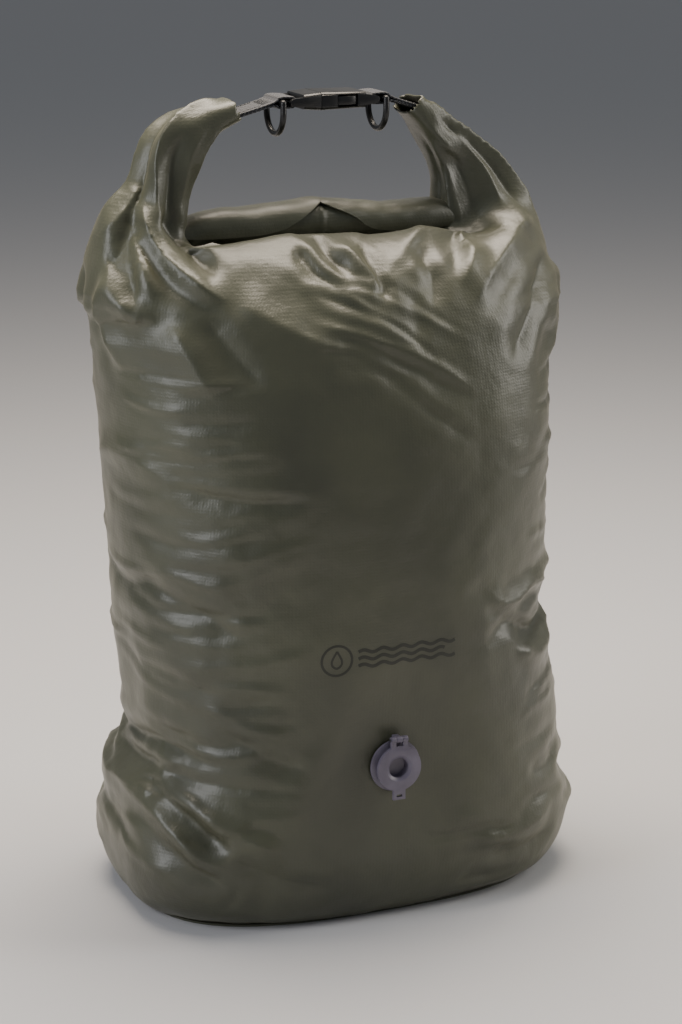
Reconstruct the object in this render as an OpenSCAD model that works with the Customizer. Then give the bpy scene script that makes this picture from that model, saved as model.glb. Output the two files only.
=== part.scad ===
// Roll-top compression sack: a coated fabric bag with an air-release valve.
// Frame: origin at the centre of the base, on the floor. The front faces -Y, +Z is up. Millimetres.

/* [Sack] */
// Overall width of the filled sack
sack_w = 330; // [270:2:400]
// Overall depth of the filled sack
sack_d = 234; // [190:2:284]
// Height of the front and rear rims above the floor
rim_z = 478; // [390:1:580]
// Thickness of the fabric walls, with their coating
wall = 1.4; // [1.2:0.1:1.8]
// How square the plan is: 2 is an ellipse, more is squarer
plan_power = 2.9; // [2.2:0.1:3.2]
// How far the air-release lets the closure sink
compress_travel = 110; // [60:1:130]

/* [Roll and horns] */
// Height of the tilt axis above the rims
axis_rise = 6; // [4:1:10]
// Radius of the trough that the roll lies in
trough_r = 26.4; // [25.6:0.1:28]
// Turns of fabric in the roll
roll_turns = 3; // [2:1:4]
// Distance between neighbouring turns of the roll
roll_pitch = 1.7; // [1.4:0.1:1.9]
// Width of one stiffener strip, which the roll is wrapped round
stiffener_w = 12; // [9:0.5:16]
// Thickness of one stiffener strip
stiffener_t = 0.9; // [0.6:0.1:1]
// Width of a horn's foot, across the sack
horn_foot_w = 56; // [46:1:60]
// Depth of a horn's foot, front to back
horn_foot_d = 44; // [38:1:44]
// How far the right horn leans in from its foot
right_lean = 14; // [0:1:20]
// Thickness of the folded fabric that forms a horn
horn_wall = 2.2; // [1.8:0.1:2.4]

/* [Buckle] */
// Width of the webbing, which the buckle is made for
webbing_w = 25; // [20:1:27]
// Thickness of one layer of webbing
webbing_t = 1.5; // [1.2:0.1:1.6]
// Height of the buckle's middle above the tilt axis
buckle_rise = 73; // [66:1:82]
// Length of the closed buckle
buckle_l = 62; // [60:1:70]
// Thickness of the buckle
buckle_t = 12; // [11:0.5:14]
// Radius of the bars that the webbing wraps
bar_r = 2.1; // [1.8:0.1:2.1]
// How far left of the middle the left horn's mouth is
left_mouth_x = 76; // [74:0.5:82]
// How far right of the middle the right horn's mouth is
right_mouth_x = 62; // [58:0.5:74]

/* [Rings] */
// Thickness of a D-ring's wire
ring_wire = 4.2; // [3.6:0.1:4.4]
// Height of a D-ring, over all
ring_h = 26; // [23:1:28]
// Distance from the buckle's bar to the ring's bar beside it
ring_gap = 9; // [9:0.5:10]

/* [Valve] */
// Height of the valve's middle above the floor
valve_z = 115; // [90:1:150]
// Radius of the flange that is welded to the fabric
flange_r = 18.2; // [17.2:0.1:22]
// Radius of the valve's lid
lid_r = 16.2; // [15:0.1:17.2]
// Inside radius of the valve's neck
neck_r = 9.4; // [8.4:0.1:11.4]
// Radius of the hinge pin
pin_r = 1; // [0.8:0.1:1.2]
// How far the check disc lifts
disc_lift = 1.2; // [0.8:0.1:1.6]

/* [Hidden] */

olive = "#4b4d3c";
webbing_grey = "#3c4045";
moulded_black = "#17181a";
valve_grey = "#6a616e";
thread_grey = "#26282a";

// clearances
slide_gap = 0.5;            // between the upper body and the tube that it slides into
run_gap = 0.05;             // between a pin and its bore, on the radius
free_gap = 0.4;             // between curved faces that move past each other
touch_gap = 0.2;            // between neighbours that lie against a curved wall

// the fabric body
plan_sides = 56;
tube_a = sack_w / 2;
tube_b = sack_d / 2;
upper_a = tube_a - wall - slide_gap;
upper_b = tube_b - wall - slide_gap;
// the tube ends here, outside the upper body and clear of the horns when the closure has sunk
tube_top = rim_z - compress_travel - 20;
lap = 14;                   // how far the upper body reaches into the tube
upper_bottom = tube_top - lap;
base_round = 24;            // radius of the turn from the wall to the base
tape_w = 22;
tape_t = 0.8;
// half the flat facet at the front and the back stands this far from the middle
flat_share = pow(cos(180 / plan_sides), 2 / plan_power);
front_y = -tube_b * flat_share;
inner_back_y = (tube_b - wall) * flat_share;

// the closure
axis_z = rim_z + axis_rise;
buckle_z = axis_z + buckle_rise;
shoulder_x = tube_a - 25;    // a horn's foot is centred here
foot_z = axis_z - 12;
left_mouth_z = buckle_z - 4;
right_mouth_z = buckle_z - 9;
mouth_h = 22;
mouth_d = webbing_w + 10;
roll_flat = stiffener_w / 2;
roll_z = axis_z - 6;
roll_top = roll_z + roll_flat + roll_r(roll_turns);
// the roll ends just before the horn that leans in further
roll_end = horn_inner_x(horn_line(right_mouth_x, right_mouth_z, right_lean), roll_top + 2) - 1;
horn_rings = 14;
horn_sides = 24;
fold_power = 3;             // how square a horn's section is

// the webbing and the buckle
bar_x = buckle_l / 2 - bar_r;
eye_r = bar_r + 0.5;        // inside radius of the webbing's loop
buckle_w = webbing_w + 7;
rail_w = 3;
window_x = bar_x - bar_r - 4.2;
plug_face_x = -10;          // the plug's block ends here, and the socket's shell begins
socket_wall = 1.8;
pad_x = 1.5;                // the arm's pad fills the socket's side window from here
pad_l = 15;
arm_y = buckle_w / 2 - 5;   // the middle of an arm
ring_x = bar_x + ring_gap;
tail_hold = 4.5;            // length of tail inside a horn's mouth
tail_drop = 10;

// the valve, with w as the distance out of the fabric
flange_t = 2;
neck_wall = 2.5;
neck_out = 6.4;
neck_in = 6;
lid_gap = 0.3;
lid_t = 2.2;
hinge_out = 7.6;            // from the fabric to the hinge pin
hinge_up = flange_r + 2.4;  // from the valve's middle to the hinge pin
knuckle_r = pin_r + 1.2;
knuckle_w = 3.6;
cup_r = neck_r - 0.7;
disc_t = 1;
disc_seat = -neck_in + 1.5;
cup_floor = disc_seat + disc_t + disc_lift + 2.8;

// ---------------------------------------------------------------- functions

function signed_power(v, p) = sign(v) * pow(abs(v), p);

// a point on a squared ellipse
function squared(a, b, angle, power) = [
    a * signed_power(cos(angle), 2 / power),
    b * signed_power(sin(angle), 2 / power)];

// the sack's plan at half width a and half depth b, with a flat facet at front and back
function plan(a, b) = [
    for (i = [0:plan_sides - 1]) squared(a, b, (i + 0.5) * 360 / plan_sides, plan_power)];

function plan_ring(a, b, z) = [for (p = plan(a, b)) [p.x, p.y, z]];

// the faces of a tube of rings, each of n points, and its two ends
function tube_faces(rings, n) = [
    for (k = [0:rings - 2]) for (i = [0:n - 1])
        [k * n + i, k * n + (i + 1) % n, (k + 1) * n + (i + 1) % n, (k + 1) * n + i]];

// a closed sleeve: outer rings first, then inner rings from the other end back to the start
function sleeve_faces(rings, n) = concat(
    tube_faces(rings, n),
    [for (i = [0:n - 1])
        [(rings - 1) * n + i, (rings - 1) * n + (i + 1) % n, (i + 1) % n, i]]);

// radius of the roll's fabric after a number of turns
function roll_r(turns) = stiffener_t + 1.1 + roll_pitch * turns;

// a point on the flattened spiral of the roll, moved sideways by half the fabric
function roll_point(turn, side) =
    let (angle = turn * 360, r = roll_r(turn) - 0.6 + side * 0.5)
    [r * cos(angle), r * sin(angle) + (sin(angle) >= 0 ? 1 : -1) * roll_flat];

function bezier(p, t) =
    p[0] * pow(1 - t, 3) + 3 * p[1] * pow(1 - t, 2) * t + 3 * p[2] * (1 - t) * t * t + p[3] * pow(t, 3);

function bezier_way(p, t) =
    let (d = (p[1] - p[0]) * pow(1 - t, 2) + 2 * (p[2] - p[1]) * (1 - t) * t + (p[3] - p[2]) * t * t)
    d / norm(d);

// ---------------------------------------------------------------- shared shapes

// a closed polyhedron through rings listed from the bottom to the top
module lofted(rings) {
    n = len(rings[0]);
    last = (len(rings) - 1) * n;
    polyhedron(
        points = [for (r = rings) each r],
        faces = concat(
            [for (f = tube_faces(len(rings), n)) [f[3], f[2], f[1], f[0]]],
            [[for (i = [0:n - 1]) i]],
            [[for (i = [0:n - 1]) last + n - 1 - i]]),
        convexity = 6);
}

// a sleeve between an outer and an inner surface
module sleeve(outer, inner) {
    n = len(outer[0]);
    rings = concat(outer, [for (k = [len(inner) - 1:-1:0]) inner[k]]);
    polyhedron(
        points = [for (r = rings) each r],
        faces = [for (f = sleeve_faces(len(rings), n)) [f[3], f[2], f[1], f[0]]],
        convexity = 8);
}

// a bar with half-round ends, from x0 to x1, half its height r
module stadium(x0, x1, r) {
    translate([x0, 0]) circle(r, $fn = 40);
    translate([x1, 0]) circle(r, $fn = 40);
    translate([x0, -r]) square([x1 - x0, 2 * r]);
}

// turns a drawing in X and Z into a solid of depth w about the sack's middle plane
module across(w) {
    translate([0, w / 2, 0]) rotate([90, 0, 0]) linear_extrude(w) children();
}

// puts a shape that points along +Z onto the front of the sack, pointing out
module on_valve() {
    translate([0, front_y, valve_z]) rotate([90, 0, 0]) children();
}

module ring_of(r_out, r_in, t) {
    difference() {
        cylinder(r = r_out, h = t, $fn = 72);
        translate([0, 0, -1]) cylinder(r = r_in, h = t + 2, $fn = 72);
    }
}

// ---------------------------------------------------------------- fabric body

// the tube's rings, each turned in by a number of millimetres all round
function tube_rings(inset) = concat(
    [for (step = [0:15:90]) let (pull = (base_round - inset) * (1 - sin(step)))
        plan_ring(tube_a - inset - pull, tube_b - inset - pull,
            wall + base_round - (base_round - inset) * cos(step))],
    [plan_ring(tube_a - inset, tube_b - inset, tube_top)]);

module body_tube() {
    color(olive) difference() {
        sleeve(tube_rings(0), concat([tube_foot()], tube_rings(wall)));
        on_valve() translate([0, 0, -wall - 2])
            cylinder(r = neck_r + neck_wall + touch_gap, h = wall + 4, $fn = 72);
    }
}

// the inner edge of the turned-in foot, flush with the outside below it
function tube_foot() = plan_ring(tube_a - base_round - 8, tube_b - base_round - 8, wall);

module base_panel() {
    inset = base_round - 6;
    color(olive) linear_extrude(wall)
        polygon(plan(tube_a - inset, tube_b - inset));
}

module base_seam_tape() {
    inset = base_round + 9;
    color(olive) translate([0, 0, wall]) linear_extrude(tape_t) difference() {
        polygon(plan(tube_a - inset, tube_b - inset));
        polygon(plan(tube_a - inset - tape_w, tube_b - inset - tape_w));
    }
}

module back_seam_tape() {
    bottom = wall + base_round + 4;
    // it ends below the upper body's lowest place
    top = upper_bottom - compress_travel - 4;
    color(olive) translate([-tape_w / 2, inner_back_y - tape_t - touch_gap, bottom])
        cube([tape_w, tape_t, top - bottom]);
}

// half width and half depth lost, and height, of each of the upper body's rings
shoulder_steps = [[0, 0, -100], [0, 0, -58], [2, 5, -34], [6, 18, -18], [12, 36, -8], [20, 56, -2]];

function shoulder_rings(inset) = [
    for (s = shoulder_steps)
        plan_ring(upper_a - s[0] - inset, upper_b - s[1] - inset,
            s[2] == shoulder_steps[0][2] ? upper_bottom : rim_z + s[2] - inset)];

function crown_ring(inset) = plan_ring(upper_a - 34 - inset, upper_b - 74, rim_z - inset);

module trough(r) {
    translate([-upper_a - 10, 0, axis_z]) rotate([0, 90, 0])
        cylinder(r = r, h = 2 * upper_a + 20, $fn = 96);
}

module shoulder_solid(inset) {
    lofted(concat(shoulder_rings(inset), [crown_ring(inset)]));
}

module upper_body() {
    color(olive) difference() {
        shoulder_solid(0);
        translate([0, 0, -0.01]) shoulder_solid(wall);
        trough(trough_r + wall);
    }
}

// the neck of fabric that dips from the rims to the roll
module mouth_collar() {
    color(olive) intersection() {
        difference() {
            trough(trough_r + wall);
            trough(trough_r);
        }
        shoulder_solid(touch_gap);
    }
}

module upper_seam_tape() {
    inner_y = (upper_b - wall) * flat_share;
    bottom = tube_top + 6;
    top = rim_z + shoulder_steps[1][2] - 2;
    color(olive) translate([-tape_w / 2, inner_y - tape_t - touch_gap, bottom])
        cube([tape_w, tape_t, top - bottom]);
}

// ---------------------------------------------------------------- roll and horns

module fold_roll() {
    steps = roll_turns * 24;
    outline = concat(
        [for (i = [0:steps]) roll_point(i / 24, 1)],
        [for (i = [steps:-1:0]) roll_point(i / 24, -1)]);
    color(olive) translate([-roll_end, 0, roll_z]) rotate([90, 0, 90])
        linear_extrude(2 * roll_end) polygon(outline);
}

module stiffener(side) {
    color(webbing_grey)
        translate([-roll_end + 4, side * (stiffener_t / 2 + 0.05) - stiffener_t / 2,
            roll_z - stiffener_w / 2])
        cube([2 * roll_end - 8, stiffener_t, stiffener_w]);
}

// half width and half depth of a horn from its foot, at 0, to its mouth, at 1
function horn_w(t) = (horn_foot_w * (1 - t) + mouth_h * t + 22 * t * (1 - t)) / 2;
function horn_d(t) = (horn_foot_d * (1 - t) + mouth_d * t) / 2;

// the middle line of a horn whose mouth is at x and z, and which leans in from its foot
function horn_line(x, z, lean) = [[shoulder_x, foot_z], [shoulder_x - lean, foot_z + 25],
    [x + 33, z - 8], [x, z]];

// the way a horn points: straight up at its foot, so that it stands level on the trough
function horn_way(line, t) =
    let (share = min(1, t / 0.25), w = (1 - share) * [0, 1] + share * bezier_way(line, t))
    w / norm(w);

// one ring across a horn, with its surface moved in by inset
function horn_ring(line, t, inset) =
    let (p = bezier(line, t), way = horn_way(line, t))
    [for (i = [0:horn_sides - 1])
        let (q = squared(horn_w(t) - inset, horn_d(t) - inset, i * 360 / horn_sides, fold_power))
        [p.x + way.y * q.x, q.y, p.y - way.x * q.x]];

// the smallest x that a right horn's inner edge has, as far up as z
function horn_inner_x(line, z) = min([for (t = [0:0.02:0.5])
    let (p = bezier(line, t), way = horn_way(line, t))
    p.y + way.x * horn_w(t) < z ? p.x - way.y * horn_w(t) : shoulder_x]);

module horn(x, z, lean) {
    line = horn_line(x, z, lean);
    color(olive) sleeve(
        [for (k = [0:horn_rings]) horn_ring(line, k / horn_rings, 0)],
        [for (k = [0:horn_rings]) horn_ring(line, k / horn_rings, horn_wall)]);
}

// ---------------------------------------------------------------- webbing and buckle

// the webbing's loop round the buckle's bar and the ring's bar, and its tail into a left horn
module webbing_tab(mouth_x) {
    start = -ring_x - eye_r - 0.1;
    end = -mouth_x - tail_hold;
    color(webbing_grey) translate([0, 0, buckle_z]) {
        across(webbing_w) difference() {
            stadium(-ring_x, -bar_x, eye_r + webbing_t);
            stadium(-ring_x, -bar_x, eye_r);
        }
        across(webbing_w) polygon([[start, webbing_t], [start, -webbing_t],
            [end, -tail_drop - webbing_t], [end, -tail_drop + webbing_t]]);
    }
}

// two rows of tight stitches, above and below the webbing, where the loop closes
module bartack(mouth_x) {
    start = ring_x + eye_r + 0.1;
    slope = tail_drop / (mouth_x + tail_hold - start);
    for (row = [5, 9], side = [-1, 1])
        color(thread_grey)
            translate([-start - row, 0, buckle_z - row * slope]) rotate([0, -atan(slope), 0])
            translate([-0.8, -webbing_w / 2 + 2, side > 0 ? webbing_t + 0.02 : -webbing_t - 0.42])
            cube([1.6, webbing_w - 4, 0.4]);
}

// the bar end of either half of the buckle, on the left
module bar_end() {
    translate([0, 0, buckle_z]) {
        translate([-bar_x, buckle_w / 2 - 1, 0]) rotate([90, 0, 0])
            cylinder(r = bar_r, h = buckle_w - 2, $fn = 32);
        for (side = [-1, 1])
            translate([-bar_x, side * (buckle_w - rail_w) / 2 - rail_w / 2, 0])
            rotate([-90, 0, 0]) linear_extrude(rail_w) stadium(0, bar_x - window_x + 1, buckle_t / 3);
    }
}

// a block with rounded long edges, from x0 to x1
module rounded_block(x0, x1, w, t, r) {
    translate([x0, 0, buckle_z]) rotate([90, 0, 90]) linear_extrude(x1 - x0) {
        square([w - 2 * r, t], center = true);
        square([w, t - 2 * r], center = true);
        for (sx = [-1, 1], sy = [-1, 1])
            translate([sx * (w / 2 - r), sy * (t / 2 - r)]) circle(r, $fn = 32);
    }
}

module buckle_plug() {
    color(moulded_black) difference() {
        union() {
            bar_end();
            rounded_block(-window_x, plug_face_x - 0.4, buckle_w, buckle_t, 3);
            // the guide tongue that runs up the socket
            translate([plug_face_x - 2, -3, buckle_z - 2]) cube([26, 6, 4]);
        }
        // the slots that the two arms grow from
        for (side = [-1, 1])
            translate([plug_face_x - 4, side * arm_y - 2.2, buckle_z - 3.4])
            cube([10, 4.4, 6.8]);
    }
}

// one springy arm with its press pad, on the rear side
module squeeze_arm() {
    color(moulded_black) translate([0, 0, buckle_z]) {
        translate([plug_face_x - 3.6, arm_y - 1.6, -3]) cube([pad_x - plug_face_x + 4.2, 3.2, 6]);
        translate([pad_x + 0.4, 0, -3]) linear_extrude(6) polygon([
            [0, arm_y - 1.6], [0, buckle_w / 2 - 0.4], [pad_l * 0.55, buckle_w / 2 + 0.6],
            [pad_l - 0.8, buckle_w / 2 - 1], [pad_l + 1.2, arm_y - 1.6]]);
    }
}

module buckle_socket() {
    cavity = buckle_t - 2 * socket_wall;
    color(moulded_black) difference() {
        union() {
            mirror([1, 0, 0]) bar_end();
            rounded_block(plug_face_x, window_x, buckle_w, buckle_t, 3);
        }
        // the mouth that the plug goes into
        translate([plug_face_x - 1, -buckle_w / 2 + socket_wall, buckle_z - cavity / 2])
            cube([window_x - 2 - plug_face_x, buckle_w - 2 * socket_wall, cavity]);
        // the side windows for the press pads
        translate([pad_x, -buckle_w / 2 - 1, buckle_z - cavity / 2])
            cube([pad_l, buckle_w + 2, cavity]);
    }
}

// a D-ring that hangs below its bar, in the plane across the webbing
module d_ring(x) {
    half = webbing_w / 2 + 0.6 + ring_wire / 2;
    wire = ring_wire / 2;
    bend = ring_h - 2 * wire - half;
    color(moulded_black) translate([x, 0, buckle_z]) {
        translate([0, half, 0]) rotate([90, 0, 0]) cylinder(r = wire, h = 2 * half, $fn = 32);
        for (side = [-1, 1]) {
            translate([0, side * half, 0]) sphere(wire, $fn = 32);
            translate([0, side * half, -bend]) cylinder(r = wire, h = bend, $fn = 32);
        }
        translate([0, 0, -bend]) rotate([0, 90, 0])
            rotate([0, 0, -90]) rotate_extrude(angle = 180, $fn = 64)
            translate([half, 0]) circle(wire, $fn = 32);
    }
}

// ---------------------------------------------------------------- valve

module valve_body() {
    ear_w = 4.4;
    color(valve_grey) on_valve() difference() {
        union() {
            translate([0, 0, touch_gap]) cylinder(r = flange_r, h = flange_t, $fn = 96);
            translate([0, 0, -neck_in])
                cylinder(r = neck_r + neck_wall, h = neck_in + neck_out, $fn = 96);
            // the ear between the lid's knuckles
            translate([-ear_w / 2, hinge_up, 0]) rotate([0, 90, 0])
                translate([-hinge_out, 0, 0]) cylinder(r = knuckle_r, h = ear_w, $fn = 40);
            translate([-ear_w / 2, hinge_up - 4.6, touch_gap]) cube([ear_w, 4.6, hinge_out - 2.6]);
            translate([-ear_w / 2, hinge_up - 1.6, touch_gap]) cube([ear_w, 3, hinge_out - 1]);
        }
        translate([0, 0, disc_seat]) cylinder(r = neck_r, h = neck_in + neck_out, $fn = 96);
        translate([0, 0, -neck_in - 1]) cylinder(r = neck_r - 2, h = 4, $fn = 96);
        translate([-ear_w, hinge_up, hinge_out]) rotate([0, 90, 0])
            cylinder(r = pin_r, h = 2 * ear_w, $fn = 32);
    }
}

module valve_backing_ring() {
    color(valve_grey) on_valve() translate([0, 0, -wall - 2.6])
        ring_of(flange_r - 1, neck_r + neck_wall + 0.05, 1.4);
}

module valve_gasket() {
    color("#2a2a2c") on_valve() translate([0, 0, -wall - 1.1])
        ring_of(flange_r - 2, neck_r + neck_wall + 0.05, 0.8);
}

module valve_hinge_pin() {
    length = 4.4 + 2 * knuckle_w + 1.6;
    color("#8a8a8c") on_valve() translate([-length / 2, hinge_up, hinge_out]) rotate([0, 90, 0])
        cylinder(r = pin_r, h = length, $fn = 32);
}

module valve_lid() {
    bottom = neck_out + lid_gap;
    reach = hinge_up - lid_r + 3;
    color(valve_grey) on_valve() difference() {
        union() {
            translate([0, 0, bottom]) cylinder(r = lid_r, h = lid_t, $fn = 96);
            translate([0, 0, cup_floor])
                cylinder(r1 = cup_r - 0.6, r2 = cup_r, h = bottom + 1 - cup_floor, $fn = 96);
            // two knuckles, each on a short arm
            for (side = [-1, 1]) translate([side * (2.5 + knuckle_w / 2) - knuckle_w / 2, 0, 0]) {
                translate([0, hinge_up, hinge_out]) rotate([0, 90, 0])
                    cylinder(r = knuckle_r, h = knuckle_w, $fn = 40);
                translate([0, hinge_up - reach, bottom]) cube([knuckle_w, reach, lid_t]);
            }
            // the lift tab
            translate([-4.5, -lid_r - 6.4, bottom]) cube([9, 9, lid_t]);
        }
        // the dished middle
        translate([0, 0, cup_floor + 1.2])
            cylinder(r1 = cup_r - 2, r2 = cup_r - 1.4, h = bottom + lid_t - cup_floor, $fn = 96);
        // the slot in the lift tab
        translate([-2, -lid_r - 4.4, bottom - 1]) cube([4, 1.8, lid_t + 2]);
        // the knuckles' bore
        translate([-10, hinge_up, hinge_out]) rotate([0, 90, 0])
            cylinder(r = pin_r + run_gap, h = 20, $fn = 32);
        // room for the body's ear
        translate([-2.4, lid_r + 0.6, bottom - 1]) cube([4.8, 12, lid_t + 2]);
    }
}

module lid_seal() {
    color("#2a2a2c") on_valve() translate([0, 0, neck_out + 0.05])
        ring_of(neck_r + 2.2, neck_r + 0.4, lid_gap - 0.05);
}

module check_disc() {
    color("#2a2a2c") on_valve() translate([0, 0, disc_seat + 0.05])
        cylinder(r = neck_r - free_gap, h = disc_t, $fn = 72);
}

// ---------------------------------------------------------------- nodes

body_tube();
base_panel();
base_seam_tape();
back_seam_tape();
valve_body();
valve_backing_ring();
valve_gasket();
valve_hinge_pin();
upper_body();
mouth_collar();
upper_seam_tape();
fold_roll();
stiffener(-1);  // front_stiffener
stiffener(1);  // rear_stiffener
mirror([1, 0, 0]) horn(left_mouth_x, left_mouth_z, 0);  // left_horn
horn(right_mouth_x, right_mouth_z, right_lean);  // right_horn
mirror([1, 0, 0]) webbing_tab(right_mouth_x);  // right_webbing_tab
buckle_socket();
mirror([1, 0, 0]) bartack(right_mouth_x);  // right_bartack
webbing_tab(left_mouth_x);  // left_webbing_tab
buckle_plug();
bartack(left_mouth_x);  // left_bartack
mirror([0, 1, 0]) squeeze_arm();  // front_squeeze_arm
squeeze_arm();  // rear_squeeze_arm
d_ring(-ring_x);  // left_d_ring
d_ring(ring_x);  // right_d_ring
valve_lid();
lid_seal();
check_disc();
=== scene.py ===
"""Roll-top compression sack: fabric, webbing, buckle and valve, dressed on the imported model."""
import math

import bpy
import numpy as np
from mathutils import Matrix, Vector, noise


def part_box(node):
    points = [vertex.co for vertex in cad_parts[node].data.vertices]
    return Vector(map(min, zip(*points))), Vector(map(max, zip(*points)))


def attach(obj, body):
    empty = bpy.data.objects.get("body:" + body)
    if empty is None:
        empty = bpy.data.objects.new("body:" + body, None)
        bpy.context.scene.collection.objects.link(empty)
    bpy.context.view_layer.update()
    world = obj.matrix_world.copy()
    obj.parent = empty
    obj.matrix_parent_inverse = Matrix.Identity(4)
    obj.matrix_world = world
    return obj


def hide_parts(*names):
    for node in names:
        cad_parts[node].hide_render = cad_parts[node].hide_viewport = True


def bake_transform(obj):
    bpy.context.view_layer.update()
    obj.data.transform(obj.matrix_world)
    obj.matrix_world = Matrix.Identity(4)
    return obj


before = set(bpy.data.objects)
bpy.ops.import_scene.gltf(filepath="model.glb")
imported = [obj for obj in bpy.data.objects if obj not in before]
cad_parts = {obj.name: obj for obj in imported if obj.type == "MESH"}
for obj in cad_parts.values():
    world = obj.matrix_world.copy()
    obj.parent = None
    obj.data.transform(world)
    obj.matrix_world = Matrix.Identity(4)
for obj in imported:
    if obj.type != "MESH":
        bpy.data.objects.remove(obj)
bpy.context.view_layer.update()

# ---------------------------------------------------------------- places taken from the frame


def middle(node):
    """The middle of a node's box."""
    low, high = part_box(node)
    return (low + high) / 2


BUCKLE_Z = middle("buckle_socket").z
SACK_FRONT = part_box("valve_body")[0].y
VALVE = middle("check_disc")
VALVE_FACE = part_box("valve_backing_ring")[0].y - 0.0012     # the fabric's outer face under the flange
WEBBING_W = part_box("left_webbing_tab")[1].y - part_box("left_webbing_tab")[0].y
BUCKLE_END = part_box("buckle_socket")[1].x
BAR_R = 0.0021              # the bar that the webbing goes round, at each end of the buckle
BAR_X = BUCKLE_END - BAR_R
RING_X = middle("right_d_ring").x
ROLL_Z = middle("fold_roll").z

# heights where the fabric goes over from one body to the next
HORN_SEAM_Z = 0.4775        # below this the fabric stays with the closure, above it the horns bend

# ---------------------------------------------------------------- small helpers


def only(obj):
    """Selects one object and nothing else."""
    bpy.ops.object.select_all(action="DESELECT")
    obj.hide_set(False)
    obj.select_set(True)
    bpy.context.view_layer.objects.active = obj


def add_mesh(name, points, faces):
    """A new object from points in metres and faces that list them."""
    mesh = bpy.data.meshes.new(name)
    mesh.from_pydata([tuple(p) for p in points], [], faces)
    mesh.update()
    obj = bpy.data.objects.new(name, mesh)
    bpy.context.collection.objects.link(obj)
    return obj


def finish_with(obj, kind, **settings):
    """Adds a modifier and applies it."""
    only(obj)
    modifier = obj.modifiers.new(kind.title(), kind)
    for key, value in settings.items():
        setattr(modifier, key, value)
    bpy.ops.object.modifier_apply(modifier=modifier.name)


def points_of(obj):
    """The vertices' places, as rows."""
    flat = np.empty(len(obj.data.vertices) * 3)
    obj.data.vertices.foreach_get("co", flat)
    return flat.reshape(-1, 3)


def normals_of(obj):
    """The vertices' normals, as rows."""
    obj.data.update()
    flat = np.empty(len(obj.data.vertices) * 3)
    obj.data.vertices.foreach_get("normal", flat)
    return flat.reshape(-1, 3)


def face_middles(obj):
    """The faces' centres, as rows."""
    flat = np.empty(len(obj.data.polygons) * 3)
    obj.data.polygons.foreach_get("center", flat)
    return flat.reshape(-1, 3)


def corners_of(obj):
    """The vertex at each face corner."""
    corners = np.empty(len(obj.data.loops), dtype=np.int64)
    obj.data.loops.foreach_get("vertex_index", corners)
    return corners


def move_points(obj, points):
    """Puts the vertices at new places."""
    obj.data.vertices.foreach_set("co", points.ravel())
    obj.data.update()


def edit_faces(obj, chosen):
    """Opens an object for editing with only the chosen faces, a mask over faces, selected."""
    only(obj)
    bpy.ops.object.mode_set(mode="EDIT")
    bpy.ops.mesh.select_mode(type="FACE")
    bpy.ops.mesh.select_all(action="DESELECT")
    bpy.ops.object.mode_set(mode="OBJECT")
    obj.data.polygons.foreach_set("select", chosen)
    bpy.ops.object.mode_set(mode="EDIT")


def edit_all(obj):
    """Opens an object for editing with everything selected."""
    only(obj)
    bpy.ops.object.mode_set(mode="EDIT")
    bpy.ops.mesh.select_all(action="SELECT")


def add_group(obj, name, weights):
    """A vertex group with a weight from 0 to 1 at each vertex, in steps of a twentieth."""
    group = obj.vertex_groups.new(name=name)
    steps = np.round(np.clip(weights, 0, 1) * 20).astype(int)
    for step in np.unique(steps):
        group.add([int(i) for i in np.where(steps == step)[0]], step / 20, "REPLACE")


def smooth_shade(obj, degrees=40):
    """Smooth shading, but for edges sharper than the angle."""
    only(obj)
    bpy.ops.object.shade_smooth_by_angle(angle=math.radians(degrees))


def smoothstep(low, high, value):
    """A soft step from 0 at low to 1 at high."""
    t = np.clip((value - low) / (high - low), 0, 1)
    return t * t * (3 - 2 * t)


def curve_through(knots, count):
    """Evenly spaced points on a Catmull-Rom curve through rows of knots."""
    knots = np.asarray(knots, float)
    padded = np.vstack([2 * knots[0] - knots[1], knots, 2 * knots[-1] - knots[-2]])
    rows = []
    for t in np.linspace(0, len(knots) - 1, count):
        i = min(int(t), len(knots) - 2)
        f = t - i
        p0, p1, p2, p3 = padded[i:i + 4]
        rows.append(0.5 * (2 * p1 + (p2 - p0) * f + (2 * p0 - 5 * p1 + 4 * p2 - p3) * f * f
                           + (3 * p1 - p0 - 3 * p2 + p3) * f ** 3))
    return np.array(rows)


def squared_circle(count, power, phase=0.0):
    """Unit points round a squared circle."""
    angle = np.linspace(0, 2 * math.pi, count, endpoint=False) + phase
    c, s = np.cos(angle), np.sin(angle)
    return np.column_stack([np.sign(c) * np.abs(c) ** (2 / power),
                            np.sign(s) * np.abs(s) ** (2 / power)])


def skin_rings(rings):
    """Quads between equal closed rings, listed so that the faces point out, and two end caps."""
    n = len(rings[0])
    faces = []
    for k in range(len(rings) - 1):
        for i in range(n):
            j = (i + 1) % n
            faces.append((k * n + i, k * n + j, (k + 1) * n + j, (k + 1) * n + i))
    faces.append(tuple(range(n - 1, -1, -1)))
    faces.append(tuple(range((len(rings) - 1) * n, len(rings) * n)))
    return faces


def joined(parts):
    """Several lots of points and faces as one."""
    points, faces, start = [], [], 0
    for p, f in parts:
        points.append(p)
        faces.extend(tuple(i + start for i in face) for face in f)
        start += len(p)
    return np.vstack(points), faces


# ---------------------------------------------------------------- fabric: body and horns in one skin

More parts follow.
